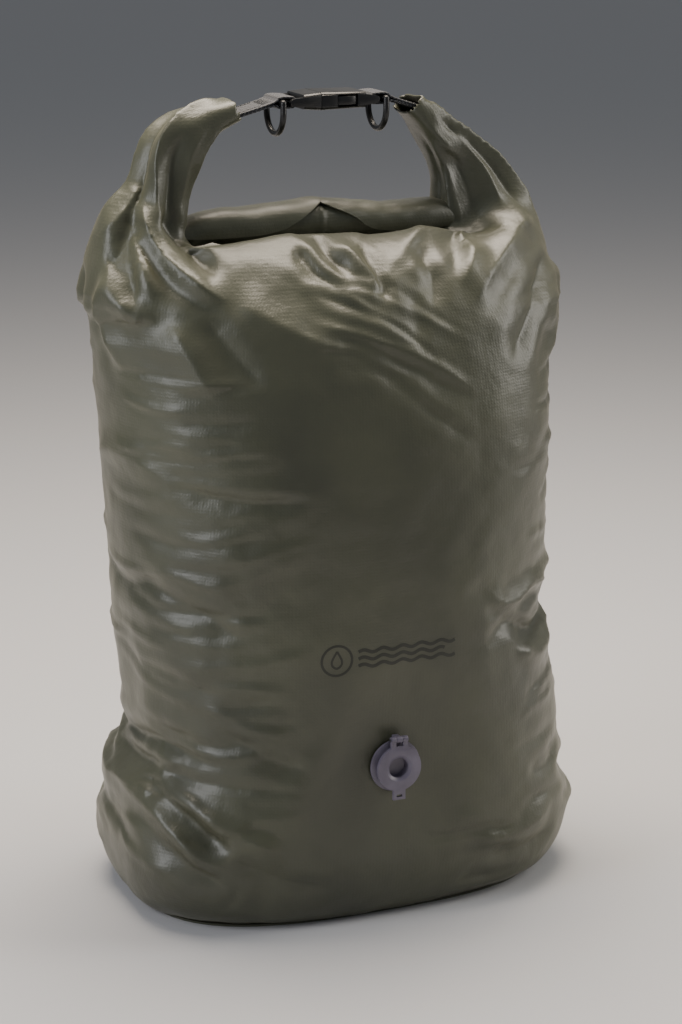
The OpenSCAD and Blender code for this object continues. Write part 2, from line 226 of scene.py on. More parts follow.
# height, half width to the left and to the right, half depth and squareness of the filled sack, in metres
BODY_PROFILE = [
    (0.000, 0.144, 0.145, 0.097, 2.5), (0.003, 0.151, 0.154, 0.104, 2.6),
    (0.012, 0.158, 0.164, 0.111, 2.8), (0.030, 0.1635, 0.1700, 0.1165, 2.9),
    (0.055, 0.1640, 0.1715, 0.1190, 3.0), (0.080, 0.1560, 0.1680, 0.1185, 3.1),
    (0.105, 0.1425, 0.1630, 0.1180, 3.2), (0.135, 0.1395, 0.1590, 0.1175, 3.2),
    (0.165, 0.1420, 0.1530, 0.1172, 3.2), (0.200, 0.1455, 0.1465, 0.1170, 3.2),
    (0.250, 0.1490, 0.1500, 0.1165, 3.1), (0.310, 0.1530, 0.1530, 0.1160, 3.0),
    (0.355, 0.1570, 0.1540, 0.1135, 2.9), (0.390, 0.1615, 0.1570, 0.1080, 2.7),
    (0.415, 0.1665, 0.1600, 0.1010, 2.6), (0.436, 0.1710, 0.1620, 0.0900, 2.4),
    (0.452, 0.1720, 0.1625, 0.0760, 2.3), (0.464, 0.1680, 0.1600, 0.0610, 2.2),
    (0.472, 0.1600, 0.1540, 0.0440, 2.2), (0.476, 0.1460, 0.1420, 0.0260, 2.2),
]
# x, height, half width along the sack and half depth of each horn, from inside the shoulder up, in metres
LEFT_HORN = [
    (-0.130, 0.425, 0.030, 0.046), (-0.130, 0.462, 0.030, 0.034), (-0.1265, 0.487, 0.0195, 0.024),
    (-0.1205, 0.507, 0.0180, 0.0205), (-0.1135, 0.5245, 0.0188, 0.0205), (-0.1030, 0.5370, 0.0150, 0.0200),
    (-0.0900, 0.5460, 0.0112, 0.0188), (-0.0765, 0.5510, 0.0088, 0.0180), (-0.0650, 0.5548, 0.0080, 0.0175),
]
# the wing of fabric outside the left horn's foot
LEFT_SHOULDER = [
    (-0.146, 0.425, 0.026, 0.060), (-0.149, 0.454, 0.0235, 0.040), (-0.149, 0.476, 0.0185, 0.022),
    (-0.142, 0.490, 0.0130, 0.0150), (-0.134, 0.502, 0.0090, 0.0120),
]
RIGHT_HORN = [
    (0.124, 0.418, 0.040, 0.048), (0.119, 0.457, 0.041, 0.036), (0.1135, 0.480, 0.0345, 0.0265),
    (0.106, 0.4985, 0.0270, 0.0205), (0.0945, 0.5155, 0.0180, 0.0180), (0.0840, 0.5275, 0.0130, 0.0170),
    (0.0745, 0.5380, 0.0098, 0.0170), (0.0655, 0.5462, 0.0078, 0.0168), (0.0560, 0.5545, 0.0070, 0.0165),
]
MOUTH_KNOT = 7              # the horn's mouth is at this place in its list
SKIN_VOXEL = 0.005          # the size of the skin's faces before they are split
FABRIC_T = 0.0011           # the horns' doubled fabric, which shows at their mouths


def body_solid():
    """The filled body as a closed solid."""
    rows = curve_through(BODY_PROFILE, 70)
    rings = []
    for z, left, right, half_depth, power in rows:
        ring = squared_circle(96, power, math.pi / 2)
        ring[:, 0] *= np.where(ring[:, 0] < 0, left, right)
        ring[:, 1] *= half_depth
        rings.append(np.column_stack([ring, np.full(len(ring), z)]))
    return np.vstack(rings), skin_rings(rings)


def horn_frame(knots, count=60):
    """Middle line, outward direction in the sack's plane, half width and half depth of a horn."""
    rows = curve_through(knots, count)
    line = rows[:, :2]
    way = np.gradient(line, axis=0)
    way /= np.linalg.norm(way, axis=1)[:, None]
    return line, way, rows[:, 2], rows[:, 3]


def horn_solid(knots):
    """A horn as a closed solid."""
    line, way, half_w, half_d = horn_frame(knots, 40)
    rings = []
    for (x, z), (wx, wz), w, d in zip(line, way, half_w, half_d):
        ring = squared_circle(40, 2.6)
        rings.append(np.column_stack([x + wz * w * ring[:, 0], d * ring[:, 1],
                                      z - wx * w * ring[:, 0]]))
    return np.vstack(rings), skin_rings(rings)


def relax(obj, weight, rounds):
    """Evens out the surface where weight is above 0."""
    points = points_of(obj)
    edges = np.empty(len(obj.data.edges) * 2, dtype=np.int64)
    obj.data.edges.foreach_get("vertices", edges)
    a, b = edges.reshape(-1, 2).T
    share = np.bincount(np.concatenate([a, b]), minlength=len(points))[:, None]
    for _ in range(rounds):
        total = np.zeros_like(points)
        np.add.at(total, a, points[b])
        np.add.at(total, b, points[a])
        points += weight[:, None] * (total / np.maximum(share, 1) - points)
    move_points(obj, points)


def near_line(plane, line):
    """Distance from points in a plane to a line through knots, the side they are on, and how far along."""
    way = curve_through(line, 24)
    best = np.full(len(plane), 1e9)
    side = np.zeros(len(plane))
    along = np.zeros(len(plane))
    for k in range(len(way) - 1):
        a, d = way[k], way[k + 1] - way[k]
        t = np.clip(((plane - a) @ d) / (d @ d), 0, 1)
        off = plane - a - t[:, None] * d
        gap = np.linalg.norm(off, axis=1)
        closer = gap < best
        best = np.where(closer, gap, best)
        side = np.where(closer, np.sign(d[0] * off[:, 1] - d[1] * off[:, 0]), side)
        along = np.where(closer, (k + t) / (len(way) - 1), along)
    return best, side, along


# Each fold: the face it lies on, its line in mm across and up, its height and its width in mm,
# and how far it leans to its left (0 is an even ridge, 1 a ridge with a steep left side).
FRONT, BACK, LEFT, RIGHT = "front", "back", "left", "right"
FACING = {FRONT: (0, -1, 0), BACK: (0, 1, 0), LEFT: (-1, 0, 0), RIGHT: (1, 0, 0)}
NARROWEST_FOLD = 0.0015

BROAD_FOLDS = [
    # the pleat that turns out of the left horn and dies out on the front
    (FRONT, [(-138, 500), (-139, 478), (-134, 460), (-118, 444), (-98, 436)], 9, 9, -0.6),
    (FRONT, [(-130, 492), (-120, 478), (-112, 464), (-104, 450)], -6, 7, 0.0),
    (FRONT, [(-145, 488), (-153, 470), (-158, 446), (-158, 425)], -5, 7, 0.5),
    (FRONT, [(-146, 484), (-148, 460), (-146, 428)], 5, 8, 0.3),
    (FRONT, [(-136, 508), (-145, 497), (-156, 486), (-172, 470)], 2.5, 5, 0.0),
    (FRONT, [(-171, 458), (-158, 466), (-148, 482)], -3, 8, 0.4),
    (FRONT, [(-176, 452), (-168, 440), (-160, 425)], 6, 9, 0.0),
    (FRONT, [(-100, 436), (-80, 425), (-55, 412), (-20, 400)], 4, 14, 0.0),
    (FRONT, [(-120, 430), (-105, 405), (-85, 382)], -4, 11, 0.3),
    (FRONT, [(-140, 425), (-128, 398), (-116, 372)], 4, 11, 0.0),
    # the gathers below the middle of the roll
    (FRONT, [(-26, 476), (-25, 462), (-12, 452)], -4, 6, 0.4),
    (FRONT, [(-48, 468), (-38, 452), (-20, 436)], -4, 7, 0.5),
    (FRONT, [(-20, 470), (-4, 452), (4, 438)], 4, 7, 0.0),
    (FRONT, [(-4, 466), (4, 448), (6, 428)], -3, 6, 0.3),
    # the right shoulder
    (FRONT, [(148, 472), (124, 462), (92, 444), (62, 420)], 6, 11, 0.5),
    (FRONT, [(150, 450), (132, 428), (112, 402), (92, 382)], -5, 11, 0.3),
    (FRONT, [(158, 440), (150, 415), (140, 395)], 5, 10, 0.0),
    (FRONT, [(78, 466), (80, 456), (62, 436)], 5, 8, -0.4),
    (FRONT, [(40, 462), (44, 444), (38, 424)], -3, 8, 0.0),
    # long low waves across the front
    (FRONT, [(-142, 315), (-102, 307), (-56, 307)], -3.0, 6, 0.4),
    (FRONT, [(-150, 345), (-110, 338), (-70, 345)], 2.0, 14, 0.0),
    (FRONT, [(-145, 280), (-100, 268), (-60, 272)], 2.0, 14, 0.0),
    (FRONT, [(-158, 244), (-128, 228), (-98, 206)], -3.4, 8, 0.4),
    (FRONT, [(-160, 262), (-130, 250), (-100, 240)], 2.4, 9, 0.0),
    (FRONT, [(-156, 186), (-136, 176), (-112, 172)], -3.0, 7, 0.3),
    (FRONT, [(-118, 146), (-88, 128), (-58, 116)], -2.6, 8, 0.4),
    (FRONT, [(-130, 165), (-100, 150), (-70, 142)], 2.4, 9, 0.0),
    # the slack above the base, on the left
    (FRONT, [(-168, 120), (-150, 98), (-128, 72), (-110, 60)], -7, 9, 0.6),
    (FRONT, [(-165, 100), (-148, 76), (-128, 52)], 5, 9, 0.0),
    (FRONT, [(-160, 76), (-142, 52), (-112, 34)], -5, 8, 0.4),
    (FRONT, [(-150, 98), (-112, 78), (-74, 54)], 4, 9, 0.4),
    (FRONT, [(-120, 60), (-80, 40), (-40, 30)], -3, 8, 0.2),
    (FRONT, [(60, 50), (100, 50), (138, 62)], 4, 9, 0.2),
    (FRONT, [(70, 34), (110, 32), (140, 40)], -3, 7, 0.0),
    (FRONT, [(150, 96), (128, 88), (106, 92)], -3, 8, 0.2),
    # the pinch on the right
    (FRONT, [(150, 216), (120, 222), (92, 216), (66, 226)], 5, 7, 0.4),
    (FRONT, [(150, 196), (120, 190), (94, 202), (68, 196)], -5, 7, -0.4),
    (FRONT, [(150, 182), (122, 172), (96, 180)], 3.5, 8, 0.0),
    # the sides
    (LEFT, [(80, 128), (20, 118), (-40, 126), (-90, 118)], -7, 9, 0.4),
    (LEFT, [(90, 100), (30, 88), (-40, 92), (-90, 82)], 5, 12, 0.0),
    (LEFT, [(80, 60), (20, 66), (-50, 52)], -4, 8, 0.3),
    (LEFT, [(-60, 250), (-10, 236), (50, 246)], -3.5, 9, 0.3),
    (LEFT, [(-70, 320), (-20, 330), (40, 318)], 3, 12, 0.0),
    (LEFT, [(-30, 452), (-20, 420), (-38, 380)], 5, 10, 0.2),
    (LEFT, [(20, 456), (24, 420), (44, 376)], -5, 10, 0.2),
    (RIGHT, [(-80, 206), (-20, 196), (40, 206), (90, 196)], -6, 9, 0.4),
    (RIGHT, [(-80, 232), (-20, 226), (60, 236)], 4, 11, 0.0),
    (RIGHT, [(-90, 84), (-30, 74), (50, 86)], -5, 10, 0.3),
    (RIGHT, [(-80, 52), (0, 44), (70, 54)], 5, 12, 0.0),
    (RIGHT, [(-24, 446), (-36, 410), (-64, 372)], 5, 10, 0.2),
    (RIGHT, [(16, 452), (20, 416), (40, 372)], -5, 10, 0.2),
    (RIGHT, [(-60, 320), (0, 308), (60, 322)], -3, 10, 0.3),
    # the back
    (BACK, [(140, 480), (136, 456), (112, 436), (84, 420)], 7, 10, 0.5),
    (BACK, [(126, 470), (106, 448), (76, 430)], -5, 9, 0.3),
    (BACK, [(-140, 480), (-132, 454), (-104, 432), (-70, 414)], 7, 10, -0.5),
    (BACK, [(-120, 466), (-96, 446), (-60, 432)], -5, 9, 0.3),
    (BACK, [(30, 470), (36, 446), (24, 420)], -4, 8, 0.3),
    (BACK, [(-30, 472), (-24, 446), (-40, 420)], 4, 8, 0.3),
    (BACK, [(140, 330), (80, 318), (20, 324)], -3, 9, 0.4),
    (BACK, [(-150, 236), (-90, 224), (-30, 230)], -3, 9, 0.4),
    (BACK, [(150, 200), (110, 190), (60, 196)], 3.4, 10, 0.0),
    (BACK, [(150, 110), (110, 86), (70, 70)], -5, 10, 0.4),
    (BACK, [(-150, 104), (-112, 78), (-70, 60)], 5, 10, 0.4),
    (BACK, [(-150, 74), (-100, 46), (-50, 34)], -4, 9, 0.3),
]

# groups of small creases, in mm: face, first and last place across, lowest and highest, how many, and slope
CREASES = [
    (FRONT, -165, -60, 60, 390, 26, 0.10), (FRONT, 165, 95, 70, 380, 14, -0.15),
    (FRONT, -60, 70, 395, 455, 10, -0.50), (FRONT, 120, 30, 18, 60, 5, 0.05),
    (BACK, 160, 50, 60, 400, 22, -0.10), (BACK, -160, -50, 60, 400, 22, 0.12),
    (LEFT, -95, 20, 40, 430, 18, 0.10), (LEFT, 95, 0, 40, 430, 14, -0.10),
    (RIGHT, -95, 20, 40, 430, 18, 0.10), (RIGHT, 95, 0, 40, 430, 14, -0.10),
]


def crease_lines():
    """Small creases that start at a side and die out, each a little different."""
    chance = np.random.default_rng(11)
    lines = []
    for face, first, last, low, high, count, slope in CREASES:
        for height in np.linspace(low, high, count):
            length = (last - first) * chance.uniform(0.45, 1.0)
            start = first + (last - first) * chance.uniform(0.0, 0.25)
            rise = abs(length) * (slope + chance.uniform(-0.16, 0.16))
            z = height + chance.uniform(-8, 8)
            line = [(start, z), (start + length * 0.35, z + rise * 0.2 + chance.uniform(-3, 3)),
                    (start + length * 0.7, z + rise * 0.6 + chance.uniform(-3, 3)),
                    (start + length, z + rise)]
            lines.append((face, line, chance.choice([-1, 1]) * chance.uniform(0.7, 1.7),
                          chance.uniform(3.0, 6.5), chance.uniform(-0.5, 0.6)))
    return lines


def fold_over(points, normals, folds):
    """Raises or sinks the surface along each fold's line, with a shallow trough beside it."""
    lift = np.zeros(len(points))
    for face, line, height, width, lean in folds:
        facing = np.array(FACING[face])
        across = points[:, :1] if face in (FRONT, BACK) else points[:, 1:2]
        plane = np.hstack([across, points[:, 2:3]])
        line = np.array(line) / 1000
        room = 5 * width / 1000         # the fold is not felt further off than this
        near = np.where(((plane > line.min(0) - room) & (plane < line.max(0) + room)).all(1)
                        & (points @ facing > 0))[0]
        gap, side, along = near_line(plane[near], line)
        reach = np.maximum(0.8 * width / 1000 * (1 - 0.65 * lean * side), NARROWEST_FOLD)
        ends = smoothstep(0, 0.22, along) * (1 - smoothstep(0.70, 1.0, along))
        turned = smoothstep(0.05, 0.55, normals[near] @ facing)
        ridge = np.exp(-(gap / reach) ** 1.2)
        trough = np.exp(-((gap - 1.9 * reach) / (0.9 * reach)) ** 2)
        lift[near] += height / 1000 * (ridge - 0.22 * trough) * ends * turned
    return points + normals * lift[:, None]


def horn_place(points, knots):
    """How far along a horn each point is, from 0 to 1, and the angle round it."""
    line, way, half_w, half_d = horn_frame(knots)
    flat = points[:, [0, 2]]
    nearest = np.argmin(((flat[:, None, :] - line[None, :, :]) ** 2).sum(2), axis=1)
    step = np.linalg.norm(np.diff(line, axis=0), axis=1).mean()
    place = nearest + np.clip(((flat - line[nearest]) * way[nearest]).sum(1) / step, -1, 1)
    spots = np.arange(len(line))
    centre, w, wide, deep = (np.column_stack([np.interp(place, spots, column) for column in table.T])
                             for table in (line, way, half_w[:, None], half_d[:, None]))
    off = flat - centre
    out = off[:, 0] * w[:, 1] - off[:, 1] * w[:, 0]
    angle = np.arctan2(points[:, 1] / deep[:, 0], out / wide[:, 0])
    return place / (len(line) - 1), angle


def draw_to_sleeve(points, knots):
    """Brings the end of a horn close round the strap that goes into it."""
    points = points.copy()
    part = np.where((points[:, 2] > 0.510) & (points[:, 0] * knots[0][0] > 0))[0]
    along, angle = horn_place(points[part], knots)
    line, way, half_w, half_d = horn_frame(knots)
    spots = np.linspace(0, 1, len(line))
    x, z, wx, wz, wide, deep = (np.interp(along, spots, column) for column in
                                  (*line.T, *way.T, half_w, half_d))
    c, s = np.cos(angle), np.sin(angle)
    reach = (np.abs(c) ** 3 + np.abs(s) ** 3) ** (-1 / 3)
    target = np.column_stack([x + wz * wide * reach * c, deep * reach * s, z - wx * wide * reach * c])
    share = 0.95 * smoothstep(0.46, 0.66, along)
    points[part] += share[:, None] * (target - points[part])
    return points


def pleat_horn(points, normals, knots, pleats):
    """Pleats that run up a horn and twist round it."""
    points = points.copy()
    part = np.where((points[:, 2] > 0.450) & (points[:, 0] * knots[0][0] > 0))[0]
    along, angle = horn_place(points[part], knots)
    lift = np.zeros(len(part))
    for start, twist, width, height, low, high in pleats:
        off = np.radians(start) + np.radians(twist) * along - angle
        off = (off + math.pi) % (2 * math.pi) - math.pi
        grown = smoothstep(low, low + 0.16, along) * (1 - smoothstep(high - 0.18, high, along))
        lift += height / 1000 * grown * np.exp(-np.abs(off / math.radians(width)) ** 1.15)
    lift *= smoothstep(0.450, 0.468, points[part, 2])
    points[part] += normals[part] * lift[:, None]
    return points


# Each pleat: the angle where it starts, its twist and its width in degrees, its height in mm,
# and the share of the horn's length where it begins and ends.
LEFT_PLEATS = [
    (-78, -115, 13, 6.0, 0.12, 0.92), (-48, -110, 16, -5.0, 0.16, 0.66),
    (-122, -100, 12, -4.5, 0.16, 0.66), (-160, -90, 14, 3.5, 0.12, 0.80),
    (-10, -60, 12, 3.0, 0.16, 0.85), (40, -60, 18, -2.5, 0.20, 0.62),
    (88, -80, 14, 4.0, 0.14, 0.85), (130, -80, 12, -4.0, 0.18, 0.66),
    (-25, -90, 7, 1.8, 0.25, 0.75), (165, -90, 8, 2.0, 0.20, 0.80),
]
RIGHT_PLEATS = [
    (-28, -12, 9, 5.5, 0.10, 1.05), (-52, -10, 14, -4.5, 0.12, 0.80),
    (-112, 10, 34, -6.5, 0.10, 0.62), (-84, 45, 7, 3.2, 0.16, 0.70),
    (-122, -40, 7, 3.0, 0.16, 0.60), (-150, 25, 9, 3.4, 0.14, 0.72),
    (-70, -60, 10, 2.6, 0.45, 0.95), (12, -20, 10, -2.5, 0.14, 0.85),
    (58, -30, 14, 4.0, 0.12, 0.90), (100, -40, 13, -3.5, 0.16, 0.85),
    (145, -30, 14, 3.5, 0.14, 0.90), (-176, 20, 10, -2.5, 0.2, 0.8),
]


def crumple(points, normals, size, height, seed):
    """A soft uneven surface, in metres, over the whole skin."""
    shift = Vector((seed, seed * 0.7, -seed))
    values = np.array([noise.noise(Vector(p) / size + shift) for p in points])
    return points + normals * (values * height)[:, None]


def sink_mouth(points):
    """Lowers the fabric between the front and rear rims, where the roll lies."""
    x, y, z = points.T
    middle_part = (1 - smoothstep(0.094, 0.124, np.abs(x))) * smoothstep(0.440, 0.462, z)
    middle_part *= 1 - smoothstep(0.482, 0.500, z)
    dip = 0.018 * middle_part * (1 - smoothstep(0.021, 0.043, np.abs(y)))
    points = points.copy()
    points[:, 2] -= dip
    return points


def seat_valve(points):
    """Flattens the fabric under the valve's flange."""
    gap = np.hypot(points[:, 0] - VALVE.x, points[:, 2] - VALVE.z)
    share = (1 - smoothstep(0.020, 0.080, gap)) * (points[:, 1] < 0)
    points = points.copy()
    points[:, 1] += share * (VALVE_FACE - points[:, 1])
    return points


def level_base(points):
    """Rests the lowest fabric on the floor."""
    points = points.copy()
    points[:, 2] = np.where(points[:, 2] < 0.004, np.maximum(points[:, 2], 0.0004), points[:, 2])
    return points


# where the fabric has slack to spare: the face, the place across and up and its radius, in mm, and how much
SLACK = [
    (FRONT, -150, 70, 75, 1.0), (FRONT, -150, 440, 70, 1.0), (FRONT, 150, 440, 60, 0.9),
    (FRONT, -20, 455, 45, 0.6), (FRONT, 135, 205, 50, 0.9), (FRONT, -140, 230, 60, 0.8),
    (FRONT, 135, 55, 60, 0.8), (FRONT, -130, 320, 60, 0.55), (FRONT, -70, 110, 45, 0.45),
    (BACK, -150, 80, 80, 1.0), (BACK, 150, 90, 80, 1.0), (BACK, -140, 440, 70, 1.0),
    (BACK, 140, 440, 70, 1.0), (BACK, 0, 250, 90, 0.45), (BACK, -120, 230, 60, 0.7),
    (LEFT, 0, 110, 90, 1.0), (LEFT, 0, 430, 80, 0.9), (LEFT, 0, 270, 80, 0.7),
    (RIGHT, 0, 200, 90, 1.0), (RIGHT, 0, 430, 80, 0.9), (RIGHT, 0, 70, 80, 0.8), (RIGHT, 0, 320, 70, 0.6),
]
CLOTH_FRAMES = 18
CLOTH_LIMIT = 0.0075        # the furthest that a point may move


def slack_share(points, normals):
    """How much spare fabric there is at each point, from 0 to 1."""
    share = np.full(len(points), 0.12)
    for face, across, height, radius, amount in SLACK:
        along = points[:, 0] if face in (FRONT, BACK) else points[:, 1]
        gap = np.hypot(along - across / 1000, points[:, 2] - height / 1000)
        facing = smoothstep(-0.1, 0.5, normals @ np.array(FACING[face]))
        share = np.maximum(share, amount * facing * (1 - smoothstep(0.35, 1.0, gap * 1000 / radius)))
    return share


def let_fabric_settle(skin):
    """Cloth simulation: the cut of the fabric is larger than the filled shape, so it creases.
    The base, the tips of the horns, the rims and the fabric round the valve are held."""
    start = points_of(skin).copy()
    normals = normals_of(skin)
    x, y, z = start.T
    held = np.maximum(1 - smoothstep(0.006, 0.020, z), smoothstep(0.520, 0.535, z))
    valve = np.hypot(x - VALVE.x, z - VALVE.z)
    held = np.maximum(held, (1 - smoothstep(0.020, 0.032, valve)) * (y < 0))
    rim = (1 - smoothstep(0.10, 0.13, np.abs(x))) * smoothstep(0.455, 0.466, z)
    held = np.maximum(held, rim)
    add_group(skin, "held", np.maximum(held, 0.05))
    add_group(skin, "slack", slack_share(start, normals))
    only(skin)
    cloth = skin.modifiers.new("settle", "CLOTH")
    fabric = cloth.settings
    fabric.quality = 6
    fabric.mass = 0.12
    fabric.tension_stiffness = fabric.compression_stiffness = 25
    fabric.shear_stiffness = 8
    fabric.bending_stiffness = 0.08
    fabric.tension_damping = fabric.compression_damping = fabric.shear_damping = 8
    fabric.air_damping = 2
    fabric.use_pressure = True
    fabric.uniform_pressure_force = 2.5
    fabric.vertex_group_mass = "held"
    fabric.pin_stiffness = 1.0
    fabric.vertex_group_shrink = "slack"
    fabric.shrink_min = 0.0
    fabric.shrink_max = -0.10
    fabric.effector_weights.gravity = 0
    cloth.collision_settings.use_collision = False
    cloth.point_cache.frame_start = 1
    cloth.point_cache.frame_end = CLOTH_FRAMES
    for step in range(1, CLOTH_FRAMES + 1):
        bpy.context.scene.frame_set(step)
    bpy.ops.object.modifier_apply(modifier="settle")
    bpy.context.scene.frame_set(1)
    settled = points_of(skin)
    moved = settled - start
    length = np.linalg.norm(moved, axis=1)
    moved *= np.minimum(1, CLOTH_LIMIT / np.maximum(length, 1e-9))[:, None]
    move_points(skin, start + moved)
    skin.vertex_groups.clear()


def filled_skin():
    """The sack and its horns as one even skin, before it is creased."""
    points, faces = joined([body_solid(), horn_solid(LEFT_HORN), horn_solid(RIGHT_HORN),
                            horn_solid(LEFT_SHOULDER)])
    skin = add_mesh("sack_skin", points, faces)
    only(skin)
    skin.data.remesh_voxel_size = SKIN_VOXEL
    bpy.ops.object.voxel_remesh()
    z = points_of(skin)[:, 2]
    shoulder = smoothstep(0.425, 0.455, z) * (1 - smoothstep(0.505, 0.525, z))
    relax(skin, 0.03 + 0.6 * shoulder, 10)
    move_points(skin, sink_mouth(points_of(skin)))
    move_points(skin, crumple(points_of(skin), normals_of(skin), 0.055, 0.0020, 3.1))
    return skin


def refine_horns(obj):
    """Splits the faces of the horns, whose pleats are sharper than the rest."""
    middles = face_middles(obj)
    edit_faces(obj, (middles[:, 2] > 0.464) & (np.abs(middles[:, 0]) > 0.072))
    bpy.ops.mesh.subdivide(number_cuts=1, smoothness=0)
    bpy.ops.object.mode_set(mode="OBJECT")


def pleat_horns(skin):
    """Draws the horns in to their straps and pleats them."""
    for knots, pleats in ((LEFT_HORN, LEFT_PLEATS), (RIGHT_HORN, RIGHT_PLEATS)):
        move_points(skin, draw_to_sleeve(points_of(skin), knots))
        for part in (pleats[0::2], pleats[1::2]):
            move_points(skin, pleat_horn(points_of(skin), normals_of(skin), knots, part))
    relax(skin, 0.35 * smoothstep(0.44, 0.47, points_of(skin)[:, 2]), 5)


def crease(skin):
    """Folds and crumples the whole skin, and evens it out again where the horns are cut off it."""
    for part in (BROAD_FOLDS[0::2], BROAD_FOLDS[1::2], crease_lines()):
        move_points(skin, fold_over(points_of(skin), normals_of(skin), part))
    move_points(skin, crumple(points_of(skin), normals_of(skin), 0.016, 0.0006, 8.4))
    x, y, z = points_of(skin).T
    seam_zone = smoothstep(0.462, 0.472, z) * (1 - smoothstep(0.483, 0.493, z))
    relax(skin, 0.5 * seam_zone * smoothstep(0.10, 0.11, np.abs(x)), 4)


def fabric_skin():
    """The whole sack's fabric, creased, with its valve's seat and its base level."""
    skin = filled_skin()
    let_fabric_settle(skin)
    finish_with(skin, "SUBSURF", levels=1, render_levels=1)
    refine_horns(skin)
    pleat_horns(skin)
    crease(skin)
    move_points(skin, level_base(seat_valve(points_of(skin))))
    return skin


def cut_horn(obj, name, side):
    """Splits the horn on one side, -1 or 1, off into a new object."""
    middles = face_middles(obj)
    edit_faces(obj, (middles[:, 2] > HORN_SEAM_Z) & (middles[:, 0] * side > 0))
    bpy.ops.mesh.separate(type="SELECTED")
    bpy.ops.object.mode_set(mode="OBJECT")
    piece = [o for o in bpy.context.selected_objects if o != obj][0]
    piece.name = piece.data.name = name
    return piece


def open_mouth(obj, knots):
    """Cuts the horn's closed end off square, at its mouth."""
    x, z = knots[MOUTH_KNOT][:2]
    x0, z0 = knots[MOUTH_KNOT - 1][:2]
    edit_all(obj)
    bpy.ops.mesh.bisect(plane_co=(x, 0, z), plane_no=(x - x0, 0, z - z0), clear_outer=True)
    bpy.ops.object.mode_set(mode="OBJECT")


def share_normals(piece, whole):
    """Gives the edge along the seam of the horns the shading of the uncut skin."""
    z = points_of(piece)[:, 2]
    add_group(piece, "seam", (np.abs(z - HORN_SEAM_Z) < 0.004).astype(float))
    finish_with(piece, "DATA_TRANSFER", object=whole, use_loop_data=True, data_types_loops={"CUSTOM_NORMAL"},
                loop_mapping="NEAREST_POLYNOR", vertex_group="seam")
    piece.vertex_groups.clear()


# ---------------------------------------------------------------- the rolled mouth

ROLL_AXIS_Z = ROLL_Z + 0.006
ROLL_LEFT, ROLL_RIGHT = -0.122, 0.104
ROLL_SEAM_X = -0.010
# x, height of the roll's top and its half depth, in metres
ROLL_SHAPE = [
    (ROLL_LEFT, 0.4740, 0.009), (-0.108, 0.4790, 0.013), (-0.084, 0.4845, 0.0155), (-0.055, 0.4850, 0.0165),
    (-0.030, 0.4870, 0.0175), (-0.010, 0.4880, 0.0175), (0.015, 0.4855, 0.0175), (0.045, 0.4825, 0.017),
    (0.070, 0.4830, 0.0165), (0.088, 0.4820, 0.0140), (ROLL_RIGHT, 0.4770, 0.010),
]
ROLL_BOTTOM = 0.4625
LAYER_T = 0.0009
LAYER_LIFT = 0.0016         # how far the outer layer stands off the roll, at its free edge
LAYER_END = math.radians(135)
# slanting pulls in the roll's fabric: x in metres, lean, height and width in mm
ROLL_PULLS = [(-0.092, 0.7, 1.6, 5), (-0.074, 0.6, -1.4, 5), (-0.052, 0.9, 1.5, 6), (-0.034, 0.8, -1.3, 5),
              (0.018, -0.9, 1.5, 6), (0.036, -0.7, -1.4, 6), (0.058, -0.8, 1.4, 6), (0.078, -0.5, -1.3, 5)]


def roll_point(x, top, depth, angle, grow):
    """A point on the flattened roll; angle 0 is the front, 90 degrees the top."""
    half = (top - ROLL_BOTTOM) / 2
    c, s = math.cos(angle), math.sin(angle)
    return (x, -(depth + grow) * math.copysign(abs(c) ** 0.8, c),
            ROLL_BOTTOM + half + (half + grow) * math.copysign(abs(s) ** 0.8, s))


def rolled_mouth():
    """The rolled mouth, with the welded seam that crosses it and the slanting pulls beside that."""
    rings = []
    for x, top, depth in curve_through(ROLL_SHAPE, 150):
        ring = [roll_point(x, top, depth, 2 * math.pi * k / 48, 0) for k in range(48)]
        rings.append(np.array(ring)[::-1])
    roll = add_mesh("rolled_mouth", np.vstack(rings), skin_rings(rings))
    p, n = points_of(roll), normals_of(roll)
    lift = 0.0007 * np.exp(-((p[:, 0] - ROLL_SEAM_X) / 0.0016) ** 2)
    for x, lean, height, width in ROLL_PULLS:
        gap = (p[:, 0] - x - lean * (p[:, 2] - ROLL_AXIS_Z)) / (width / 1000)
        lift += height / 1000 * np.exp(-np.abs(gap) ** 1.3)
    p = p + n * lift[:, None]
    move_points(roll, crumple(p, n, 0.012, 0.0006, 2.2))
    return roll


# x and height of the outer layer's free edge, which lifts to a peak at the seam, in metres
LAYER_EDGE = [(-0.112, 0.4700), (-0.080, 0.4705), (-0.052, 0.4715), (-0.030, 0.4760), (-0.012, 0.4850),
              (-0.008, 0.4850), (0.010, 0.4775), (0.030, 0.4700), (0.060, 0.4680), (0.094, 0.4690)]


def outer_layer():
    """The roll's outer layer of fabric, open in an upturned V in front of the seam."""
    edge = curve_through(LAYER_EDGE, 120)
    shape = curve_through(ROLL_SHAPE, 400)
    grid = []
    for x, z in edge:
        top, depth = np.interp(x, shape[:, 0], shape[:, 1]), np.interp(x, shape[:, 0], shape[:, 2])
        half = (top - ROLL_BOTTOM) / 2
        low = math.asin(max(-0.9, min(0.97, (z - ROLL_BOTTOM - half) / half)))
        grid.append([roll_point(x, top, depth, low + (LAYER_END - low) * t, LAYER_LIFT * (1.25 - t))
                     for t in np.linspace(0, 1, 22)])
    n = len(grid[0])
    faces = [(k * n + i, (k + 1) * n + i, (k + 1) * n + i + 1, k * n + i + 1)
             for k in range(len(grid) - 1) for i in range(n - 1)]
    layer = add_mesh("roll_outer_layer", np.vstack(grid), faces)
    move_points(layer, crumple(points_of(layer), normals_of(layer), 0.014, 0.0009, 6.1))
    finish_with(layer, "SOLIDIFY", thickness=LAYER_T, offset=1)
    return layer


# ---------------------------------------------------------------- carried shapes with their edges finished

